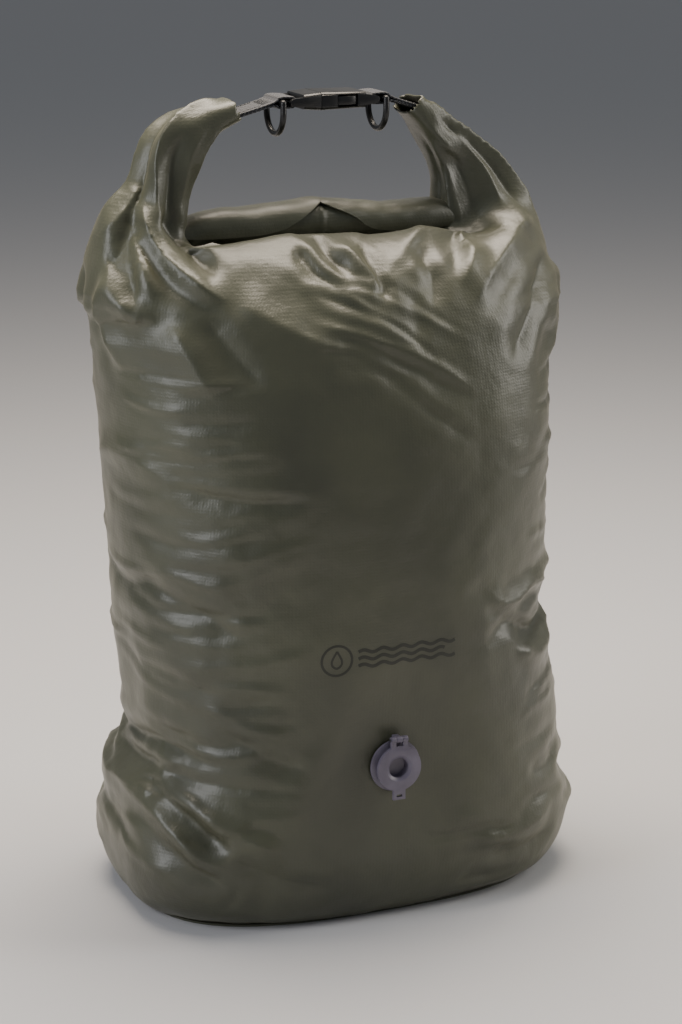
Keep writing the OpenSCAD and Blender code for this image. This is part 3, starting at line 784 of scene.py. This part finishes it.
DISH_DEPTH, DISH_FLOOR_R, DISH_RIM_R = 0.0024, 0.0062, 0.0094
LID_RIM_R = 0.010, 0.0165       # between these radii the lid's outer face is flat


def cut_dish(lid):
    """Opens the rim of the lid's dish out into a cone."""
    p = points_of(lid)
    gap = np.hypot(p[:, 0] - VALVE.x, p[:, 2] - VALVE.z)
    face = p[(gap > LID_RIM_R[0]) & (gap < LID_RIM_R[1]), 1].min()
    bpy.ops.object.select_all(action="DESELECT")
    bpy.ops.mesh.primitive_cone_add(vertices=72, radius1=DISH_FLOOR_R, radius2=DISH_RIM_R, depth=DISH_DEPTH,
                                    location=(VALVE.x, face + DISH_DEPTH / 2 - 0.0001, VALVE.z),
                                    rotation=(math.pi / 2, 0, 0))
    cone = bpy.context.object
    finish_with(lid, "BOOLEAN", operation="DIFFERENCE", object=cone, solver="EXACT")
    bpy.data.objects.remove(cone)


def finished_copy(node, name, radius, taper=None, reshape=None):
    """A copy of a CAD node with its corners rounded, and where asked its ends tapered in thickness.
    The taper runs between two distances from the middle, and ends at a share of the thickness less."""
    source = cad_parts[node]
    copy = add_mesh(name, [v.co[:] for v in source.data.vertices],
                    [tuple(f.vertices) for f in source.data.polygons])
    edit_all(copy)
    bpy.ops.mesh.remove_doubles(threshold=1e-6)
    bpy.ops.mesh.dissolve_limited(angle_limit=math.radians(2))
    bpy.ops.object.mode_set(mode="OBJECT")
    if reshape:
        reshape(copy)
    if taper:
        p = points_of(copy)
        start, end, share = taper
        p[:, 2] = BUCKLE_Z + (p[:, 2] - BUCKLE_Z) * (1 - share * smoothstep(start, end, np.abs(p[:, 0])))
        move_points(copy, p)
    finish_with(copy, "BEVEL", width=radius, segments=2, limit_method="ANGLE",
                angle_limit=math.radians(32), harden_normals=False)
    smooth_shade(copy, 40)
    return copy


WEBBING_T = 0.0014
LOOP_R = BAR_R + 0.00125        # the middle of the webbing, where it goes round a bar
PLY_OFF = 0.00078               # half the way between the middles of the doubled webbing's two plies
RING_OUT = RING_X + BAR_R + 0.0006
STITCH_OFF = 0.0017             # the thread lies this far above and below the middle of the doubled webbing
THREAD_R, STITCH_PITCH = 0.00036, 0.00299


def webbing_path(tail_x, tail_z):
    """The middle line of one strap: out of the horn, round both bars and back."""
    loop_r = LOOP_R
    ring_x, bar_x = -RING_X, -BAR_X
    under = [(tail_x, tail_z - PLY_OFF), (ring_x - loop_r - 0.004, BUCKLE_Z - 0.0021),
             (ring_x - 0.0012, BUCKLE_Z - loop_r)]
    turn = [(bar_x + loop_r * math.sin(a), BUCKLE_Z - loop_r * math.cos(a))
            for a in np.linspace(0.15, math.pi - 0.15, 9)]
    over = [(ring_x - 0.0012, BUCKLE_Z + loop_r), (ring_x - loop_r - 0.004, BUCKLE_Z - 0.0002),
            (tail_x, tail_z + PLY_OFF)]
    return under + turn + over


def strap(name, tail_x, tail_z, side):
    """A length of 25 mm webbing, with rounded edges and its own UV in metres."""
    path = curve_through(webbing_path(tail_x, tail_z), 110)
    path[:, 0] *= -side
    way = np.gradient(path, axis=0)
    way /= np.linalg.norm(way, axis=1)[:, None]
    across = np.column_stack([-way[:, 1], way[:, 0]])
    length = np.concatenate([[0], np.cumsum(np.linalg.norm(np.diff(path, axis=0), axis=1))])
    section = [(0.5, -0.28), (0.5, 0.28), (0.485, 0.45), (0.45, 0.5)]
    section += [(v, 0.5) for v in (0.36, 0.24, 0.12, 0, -0.12, -0.24, -0.36)]
    section += [(-0.45, 0.5), (-0.485, 0.45), (-0.5, 0.28), (-0.5, -0.28), (-0.485, -0.45), (-0.45, -0.5)]
    section += [(v, -0.5) for v in (-0.36, -0.24, -0.12, 0, 0.12, 0.24, 0.36)]
    section += [(0.45, -0.5), (0.485, -0.45)]
    rings, uv = [], []
    for (x, z), (nx, nz), run in zip(path, across, length):
        rings.append([(x + nx * h * WEBBING_T, w * WEBBING_W, z + nz * h * WEBBING_T) for w, h in section])
        uv.append([(run, w * WEBBING_W) for w, h in section])
    piece = add_mesh(name, np.vstack(rings), skin_rings(rings))
    edit_all(piece)
    bpy.ops.mesh.normals_make_consistent(inside=False)
    bpy.ops.object.mode_set(mode="OBJECT")
    layer = piece.data.uv_layers.new(name="weave")
    layer.data.foreach_set("uv", np.vstack(uv)[corners_of(piece)].ravel())
    smooth_shade(piece, 50)
    return piece


def stitches(name, rows):
    """Short rounded thread lengths laid end to end along straight rows."""
    bpy.ops.object.select_all(action="DESELECT")
    bpy.ops.mesh.primitive_uv_sphere_add(segments=6, ring_count=4, radius=1)
    bead = bpy.context.object
    base = points_of(bead).copy()
    base_faces = [tuple(f.vertices) for f in bead.data.polygons]
    bpy.data.objects.remove(bead)
    parts = []
    for start, end in rows:
        start, end = Vector(start), Vector(end)
        count = max(1, round((end - start).length / STITCH_PITCH))
        turn = np.array((end - start).to_track_quat("Z", "Y").to_matrix())
        for k in range(count):
            centre = start.lerp(end, (k + 0.5) / count)
            shape = base * [THREAD_R * 1.3, THREAD_R, (end - start).length / count * 0.44]
            parts.append((shape @ turn.T + np.array(centre), base_faces))
    piece = add_mesh(name, *joined(parts))
    smooth_shade(piece, 60)
    return piece


def strap_stitch_rows(side, tail_x, slope, height):
    """A dense bar where the loop closes, and a line along each edge of the tail."""
    def place(run, y):
        return (side * (RING_OUT + run), y, BUCKLE_Z + height - run * slope)
    edge = WEBBING_W / 2 - 0.0028
    rows = [(place(0.0035 + k * 0.0010, -edge), place(0.0035 + k * 0.0010, edge)) for k in range(7)]
    rows += [(place(0.011, y), place(tail_x - RING_OUT, y)) for y in (-edge, edge)]
    return rows


# ---------------------------------------------------------------- printed mark and back seam

MARK_X, MARK_Z = -0.003, 0.196
RING_CENTRE, RING_RADIUS = -41, 10.5        # of the ring in the mark, in mm from the mark's middle
WAVES = [(5.0, -26, 46), (0, -26, 38), (-5.0, -26, 46)]     # height, left and right end, in mm
WAVE_LENGTH, WAVE_HEIGHT = 14.4, 1.1
INK_T, TAPE_T = 0.00006, 0.0005


def lay_on(piece, host, to_front, off, thickness):
    """Lays a flat piece on the fabric of the front or the back, and gives it its thickness."""
    finish_with(piece, "SHRINKWRAP", target=host, wrap_method="PROJECT", use_project_y=True,
                use_project_z=False, use_project_x=False, use_positive_direction=to_front,
                use_negative_direction=not to_front, offset=off)
    finish_with(piece, "SOLIDIFY", thickness=thickness, offset=0)


def laid_on_front(name, shapes, lift, host):
    """Flat shapes, given in mm about a centre, laid on the front fabric."""
    parts = []
    for points, faces in shapes:
        points = np.array(points, float) / 1000
        parts.append((np.column_stack([points[:, 0] + MARK_X, np.full(len(points), SACK_FRONT - 0.02),
                                       points[:, 1] + MARK_Z]), faces))
    piece = add_mesh(name, *joined(parts))
    lay_on(piece, host, True, lift, INK_T)
    return piece


def band_shape(line, width, count=40):
    """A flat band of quads along a line."""
    way = curve_through(line, count)
    step = np.gradient(way, axis=0)
    step /= np.linalg.norm(step, axis=1)[:, None]
    side = np.column_stack([-step[:, 1], step[:, 0]]) * width / 2
    points = np.vstack([way + side, way - side])
    faces = [(i, i + count, i + count + 1, i + 1) for i in range(count - 1)]
    return points, faces


def printed_mark(host):
    """A plain sign of the sack's use: a drop of water in a ring, and three waves."""
    ring = [(RING_CENTRE + RING_RADIUS * math.cos(a), RING_RADIUS * math.sin(a))
            for a in np.linspace(0, 2 * math.pi, 25)]
    drop = [(-41, 6.6), (-37.8, 0.6), (-37.8, -3.2), (-41, -5.6), (-44.2, -3.2), (-44.2, 0.6), (-41, 6.6)]
    shapes = [band_shape(ring, 1.7, 60), band_shape(drop, 1.5, 40)]
    for height, left, right in WAVES:
        wave = [(x, height + WAVE_HEIGHT * math.sin((x - left) / WAVE_LENGTH * 2 * math.pi))
                for x in np.linspace(left, right, 30)]
        shapes.append(band_shape(wave, 2.4, 120))
    return laid_on_front("printed_mark", shapes, 0.00012, host)


def back_strip(host):
    """The taped seam down the middle of the back."""
    heights = np.linspace(0.012, 0.452, 180)
    xs = np.linspace(-0.011, 0.011, 9)
    points = [(x, -SACK_FRONT + 0.03, z) for z in heights for x in xs]
    n = len(xs)
    faces = [(k * n + i, k * n + i + 1, (k + 1) * n + i + 1, (k + 1) * n + i)
             for k in range(len(heights) - 1) for i in range(n - 1)]
    strip = add_mesh("back_seam_strip", points, faces)
    lay_on(strip, host, False, 0.0003, TAPE_T)
    smooth_shade(strip, 40)
    return strip


# ---------------------------------------------------------------- materials


def linear(hex_colour):
    """An sRGB hex colour as linear RGBA."""
    parts = [int(hex_colour[i:i + 2], 16) / 255 for i in (1, 3, 5)]
    return tuple(v / 12.92 if v <= 0.04045 else ((v + 0.055) / 1.055) ** 2.4 for v in parts) + (1.0,)


def add_node(tree, kind, inputs=None, **settings):
    """Adds a node. Inputs are values, or sockets that are linked."""
    node = tree.nodes.new(kind)
    for key, value in settings.items():
        setattr(node, key, value)
    for key, value in (inputs or {}).items():
        if isinstance(value, bpy.types.NodeSocket):
            tree.links.new(value, node.inputs[key])
        else:
            node.inputs[key].default_value = value
    return node


def new_material(name):
    """An empty material, with its node tree and its shader."""
    material = bpy.data.materials.new(name)
    material.use_nodes = True
    tree = material.node_tree
    tree.nodes.clear()
    shader = add_node(tree, "ShaderNodeBsdfPrincipled")
    output = add_node(tree, "ShaderNodeOutputMaterial")
    tree.links.new(shader.outputs["BSDF"], output.inputs["Surface"])
    return material, tree, shader


def wave_scale(spacing):
    """The scale at which a band wave repeats at a spacing in metres."""
    return math.pi / 20 / spacing


def two_tone(tree, factor, dark, light, low, high):
    """A colour that goes from dark to light as the factor goes from low to high."""
    ramp = add_node(tree, "ShaderNodeValToRGB", {"Fac": factor})
    ramp.color_ramp.elements[0].position = low
    ramp.color_ramp.elements[0].color = linear(dark)
    ramp.color_ramp.elements[1].position = high
    ramp.color_ramp.elements[1].color = linear(light)
    return ramp.outputs["Color"]


def coated_nylon():
    """PU-coated nylon taffeta, calendered: a satin face with a fine plain weave and small dents."""
    material, tree, shader = new_material("coated_nylon_taffeta")
    place = add_node(tree, "ShaderNodeTexCoord").outputs
    blotch = add_node(tree, "ShaderNodeTexNoise",
                      {"Vector": place["Object"], "Scale": 9.0, "Detail": 4.0, "Roughness": 0.55})
    colour = two_tone(tree, blotch.outputs["Fac"], "#3a3c31", "#4b4d3d", 0.30, 0.72)
    tree.links.new(colour, shader.inputs["Base Color"])
    # yarns 0.45 mm apart are drawn at 1.1 mm, so that the weave shows
    yarns = wave_scale(0.0011)
    warp = add_node(tree, "ShaderNodeTexWave",
                    {"Vector": place["UV"], "Scale": yarns, "Distortion": 0.6, "Detail": 1.0},
                    bands_direction="X", wave_type="BANDS")
    weft = add_node(tree, "ShaderNodeTexWave",
                    {"Vector": place["UV"], "Scale": yarns, "Distortion": 0.6, "Detail": 1.0},
                    bands_direction="Y", wave_type="BANDS")
    weave = add_node(tree, "ShaderNodeMath", {0: warp.outputs["Fac"], 1: weft.outputs["Fac"]},
                     operation="MULTIPLY")
    dents = add_node(tree, "ShaderNodeTexNoise",
                     {"Vector": place["Object"], "Scale": 120.0, "Detail": 5.0, "Roughness": 0.6})
    fine = add_node(tree, "ShaderNodeBump",
                    {"Strength": 0.22, "Distance": 0.0002, "Height": weave.outputs["Value"]})
    soft = add_node(tree, "ShaderNodeBump",
                    {"Strength": 0.35, "Distance": 0.0012, "Height": dents.outputs["Fac"],
                     "Normal": fine.outputs["Normal"]})
    tree.links.new(soft.outputs["Normal"], shader.inputs["Normal"])
    gloss = add_node(tree, "ShaderNodeMapRange",
                     {"Value": blotch.outputs["Fac"], "To Min": 0.33, "To Max": 0.44})
    tree.links.new(gloss.outputs["Result"], shader.inputs["Roughness"])
    shader.inputs["IOR"].default_value = 1.53
    shader.inputs["Sheen Weight"].default_value = 0.20
    shader.inputs["Sheen Roughness"].default_value = 0.4
    shader.inputs["Sheen Tint"].default_value = linear("#b9b19c")
    return material


def plain_plastic(name, dark, light, rough, ior, bump=0.1, scale=900.0):
    """A moulded plastic with a faint spark-eroded grain and slight tone changes."""
    material, tree, shader = new_material(name)
    place = add_node(tree, "ShaderNodeTexCoord").outputs["Object"]
    grain = add_node(tree, "ShaderNodeTexNoise", {"Vector": place, "Scale": scale, "Detail": 3.0})
    tone = add_node(tree, "ShaderNodeTexNoise", {"Vector": place, "Scale": 60.0, "Detail": 2.0})
    tree.links.new(two_tone(tree, tone.outputs["Fac"], dark, light, 0.3, 0.7),
                   shader.inputs["Base Color"])
    rise = add_node(tree, "ShaderNodeBump",
                    {"Strength": bump, "Distance": 0.0003, "Height": grain.outputs["Fac"]})
    tree.links.new(rise.outputs["Normal"], shader.inputs["Normal"])
    shader.inputs["Roughness"].default_value = rough
    shader.inputs["IOR"].default_value = ior
    return material


def plain_metal(name, colour, rough):
    """A bare metal, drawn as wire: even, with a soft mirror."""
    material, tree, shader = new_material(name)
    shader.inputs["Base Color"].default_value = linear(colour)
    shader.inputs["Metallic"].default_value = 1.0
    shader.inputs["Roughness"].default_value = rough
    return material


def polyester_webbing():
    """Woven polyester webbing: dull yarn ribs across the tape, with a painted highlight on their tops and
    painted shade between them.
    """
    material, tree, shader = new_material("polyester_webbing")
    place = add_node(tree, "ShaderNodeTexCoord").outputs["UV"]
    ribs = add_node(tree, "ShaderNodeTexWave",
                    {"Vector": place, "Scale": wave_scale(0.0016), "Distortion": 0.4},
                    bands_direction="X", wave_type="BANDS")
    rows = add_node(tree, "ShaderNodeTexWave",
                    {"Vector": place, "Scale": wave_scale(0.0021), "Distortion": 0.3},
                    bands_direction="Y", wave_type="BANDS")
    weave = add_node(tree, "ShaderNodeMath", {0: ribs.outputs["Fac"], 1: rows.outputs["Fac"]},
                     operation="MAXIMUM")
    # the colour follows the weave's height: a painted highlight on the raised ribs and painted shade in the
    # grooves between them
    tree.links.new(two_tone(tree, weave.outputs["Value"], "#1d1f23", "#3a3c42", 0.2, 1.0),
                   shader.inputs["Base Color"])
    rise = add_node(tree, "ShaderNodeBump",
                    {"Strength": 0.6, "Distance": 0.0004, "Height": weave.outputs["Value"]})
    tree.links.new(rise.outputs["Normal"], shader.inputs["Normal"])
    shader.inputs["Roughness"].default_value = 0.7
    shader.inputs["Sheen Weight"].default_value = 0.08
    return material


NYLON = coated_nylon()
WEBBING = polyester_webbing()
# moulded acetal of the buckle and the rings: near black, with a soft broad gloss
ACETAL = plain_plastic("moulded_acetal", "#0f1011", "#17181a", 0.34, 1.48)
# moulded TPU of the valve: mauve grey, smooth and a little waxy
VALVE_TPU = plain_plastic("moulded_tpu", "#5a5563", "#6b6676", 0.38, 1.50, 0.06)
# moulded silicone of the seals: dull and dark
RUBBER = plain_plastic("silicone_rubber", "#232325", "#2c2c2f", 0.55, 1.41)
# spun polyester thread: dull, with a fine fibrous grain
THREAD = plain_plastic("polyester_thread", "#1d1f21", "#33363a", 0.65, 1.55, 0.3, 2400.0)
# hot-pressed PU tape: the fabric's own colour, a little duller
SEAM_TAPE = plain_plastic("seam_tape", "#3d3f36", "#4a4c40", 0.45, 1.5)
# extruded polyethylene strip: dark and waxy
STRIP = plain_plastic("ldpe_strip", "#303236", "#3a3c40", 0.4, 1.51)
# screen-printed ink: a darker olive with no shine of its own
INK = plain_plastic("print_ink", "#24261f", "#2b2d26", 0.5, 1.5)
# stainless wire of the lid's hinge pin
STEEL = plain_metal("stainless_steel", "#8c8c8e", 0.3)


def dress(obj, material):
    """Gives a piece its one material."""
    obj.data.materials.clear()
    obj.data.materials.append(material)


# the oval that the weave is laid round, and the radius of a circle about as long
WEAVE_HALF_W, WEAVE_HALF_D, WEAVE_RADIUS = 0.154, 0.116, 0.146


def unwrap_sack(obj):
    """UV in metres: across is the way round the sack, up is the height."""
    points, corners = points_of(obj), corners_of(obj)
    angle = np.arctan2(points[:, 0] / WEAVE_HALF_W, -points[:, 1] / WEAVE_HALF_D)
    across = angle[corners] * WEAVE_RADIUS
    if len(corners) == 4 * len(obj.data.polygons):
        # a face that crosses the back seam is kept in one stretch
        across = across.reshape(-1, 4)
        crosses = (across.max(1) - across.min(1))[:, None] > WEAVE_RADIUS * math.pi
        across = (across + 2 * math.pi * WEAVE_RADIUS * (crosses & (across < 0))).ravel()
    layer = obj.data.uv_layers.new(name="weave")
    layer.data.foreach_set("uv", np.column_stack([across, points[corners, 2]]).ravel())


# ---------------------------------------------------------------- dressing the sack

skin = fabric_skin()
whole = skin.copy()
whole.data = skin.data.copy()
bpy.context.collection.objects.link(whole)
left_horn = cut_horn(skin, "left_horn_skin", -1)
right_horn = cut_horn(skin, "right_horn_skin", 1)
for horn, knots in ((left_horn, LEFT_HORN), (right_horn, RIGHT_HORN)):
    open_mouth(horn, knots)
for piece in (skin, left_horn, right_horn):
    unwrap_sack(piece)
    dress(piece, NYLON)
for horn in (left_horn, right_horn):
    finish_with(horn, "SOLIDIFY", thickness=FABRIC_T, offset=-1)
for piece in (skin, left_horn, right_horn, whole):
    smooth_shade(piece, 180)
for piece in (skin, left_horn, right_horn):
    share_normals(piece, whole)
bpy.data.objects.remove(whole)

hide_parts("body_tube", "upper_body", "mouth_collar", "back_seam_tape", "upper_seam_tape",
            "base_seam_tape")
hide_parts("left_horn")
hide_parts("right_horn")
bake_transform(skin)
for horn in (left_horn, right_horn):
    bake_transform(horn)

roll = rolled_mouth()
layer = outer_layer()
for piece in (roll, layer):
    unwrap_sack(piece)
    dress(piece, NYLON)
    smooth_shade(piece, 60)
    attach(piece, "handle")
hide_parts("fold_roll")

mark = printed_mark(skin)
dress(mark, INK)
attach(mark, "sack")
strip = back_strip(skin)
dress(strip, SEAM_TAPE)
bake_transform(strip)

# ---------------------------------------------------------------- buckle, straps and rings

for node, name, body, taper in (
        ("buckle_plug", "plug_half", "plug", (0.012, 0.030, 0.30)),
        ("buckle_socket", "socket_half", "handle", (0.018, 0.031, 0.32)),
        ("front_squeeze_arm", "front_arm_pad", "front_arm", None),
        ("rear_squeeze_arm", "rear_arm_pad", "rear_arm", None)):
    piece = finished_copy(node, name, 0.0006, taper)
    dress(piece, ACETAL)
    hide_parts(node)
    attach(piece, body)

for side, node, name, body, stitch_node, more_tail in (
        (-1, "left_webbing_tab", "left_strap", "plug", "left_bartack", -0.001),
        (1, "right_webbing_tab", "right_strap", "handle", "right_bartack", 0.005)):
    low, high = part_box(node)
    tail_x = max(-low.x, high.x) + more_tail
    tail_z = low.z + 0.0015
    slope = (BUCKLE_Z - tail_z) / (tail_x - RING_OUT)
    piece = strap(name, -tail_x, tail_z, side)
    dress(piece, WEBBING)
    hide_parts(node)
    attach(piece, body)
    rows = strap_stitch_rows(side, tail_x, slope, STITCH_OFF)
    rows += strap_stitch_rows(side, tail_x, slope, -STITCH_OFF)
    thread = stitches(stitch_node.replace("bartack", "strap_stitching"), rows)
    dress(thread, THREAD)
    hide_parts(stitch_node)
    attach(thread, body)

# ---------------------------------------------------------------- valve

for node, name, body, radius, reshape in (
        ("valve_body", "valve_flange", "sack", 0.0005, None),
        ("valve_lid", "valve_cap", "lid", 0.0005, cut_dish)):
    piece = finished_copy(node, name, radius, reshape=reshape)
    dress(piece, VALVE_TPU)
    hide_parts(node)
    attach(piece, body)

# ---------------------------------------------------------------- carried-over nodes

for node, material, slot_name in (
        ("base_panel", NYLON, "coated_fabric"),
        ("front_stiffener", STRIP, "stiffener"), ("rear_stiffener", STRIP, "stiffener"),
        ("left_d_ring", ACETAL, "acetal"), ("right_d_ring", ACETAL, "acetal"),
        ("valve_backing_ring", VALVE_TPU, "valve_plastic"), ("valve_hinge_pin", STEEL, "pin_metal"),
        ("valve_gasket", RUBBER, "valve_rubber"), ("lid_seal", RUBBER, "valve_rubber"),
        ("check_disc", RUBBER, "valve_rubber")):
    dress(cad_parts[node], material)

# ---------------------------------------------------------------- floor, light and camera


def add_floor():
    """A plain pale floor."""
    bpy.ops.object.select_all(action="DESELECT")
    bpy.ops.mesh.primitive_plane_add(size=30, location=(0, 0, 0))
    floor = bpy.context.object
    floor.name = "floor"
    material, tree, shader = new_material("matt_paper")
    shader.inputs["Base Color"].default_value = linear("#b9b9bb")
    shader.inputs["Roughness"].default_value = 0.8
    floor.data.materials.append(material)


def add_area(name, place, target, size, watts, colour):
    """A soft rectangular lamp that faces the target."""
    lamp = bpy.data.lights.new(name, "AREA")
    lamp.shape = "RECTANGLE"
    lamp.size, lamp.size_y = size
    lamp.energy = watts
    lamp.color = linear(colour)[:3]
    obj = bpy.data.objects.new(name, lamp)
    bpy.context.collection.objects.link(obj)
    obj.location = place
    obj.rotation_euler = (Vector(target) - Vector(place)).to_track_quat("-Z", "Y").to_euler()


def add_camera():
    """A long lens, a little above the sack and to its left."""
    data = bpy.data.cameras.new("camera")
    data.sensor_fit = "VERTICAL"
    data.sensor_height = 36.0
    data.lens = 97.0
    obj = bpy.data.objects.new("camera", data)
    bpy.context.collection.objects.link(obj)
    azimuth, elevation, distance = math.radians(-23.4), math.radians(15.0), 1.96
    target = Vector((0.0108, 0, 0.2642))
    away = Vector((math.sin(azimuth) * math.cos(elevation), -math.cos(azimuth) * math.cos(elevation),
                   math.sin(elevation)))
    obj.location = target + away * distance
    obj.rotation_euler = (-away).to_track_quat("-Z", "Y").to_euler()
    bpy.context.scene.camera = obj


def add_world(colour, strength):
    """An even surrounding light."""
    world = bpy.data.worlds.new("studio")
    world.use_nodes = True
    world.node_tree.nodes["Background"].inputs["Color"].default_value = linear(colour)
    world.node_tree.nodes["Background"].inputs["Strength"].default_value = strength
    bpy.context.scene.world = world


add_floor()
add_world("#d9dde2", 0.30)
add_area("top_softbox", (0.1, 0.35, 1.7), (0, 0, 0.35), (1.3, 0.9), 58, "#fff1df")
add_area("left_softbox", (-1.5, -0.3, 0.9), (0, 0, 0.3), (0.6, 1.3), 17, "#fbfbff")
add_area("right_softbox", (1.4, -0.5, 0.9), (0, 0, 0.3), (0.5, 1.3), 15, "#fffaf2")
add_camera()
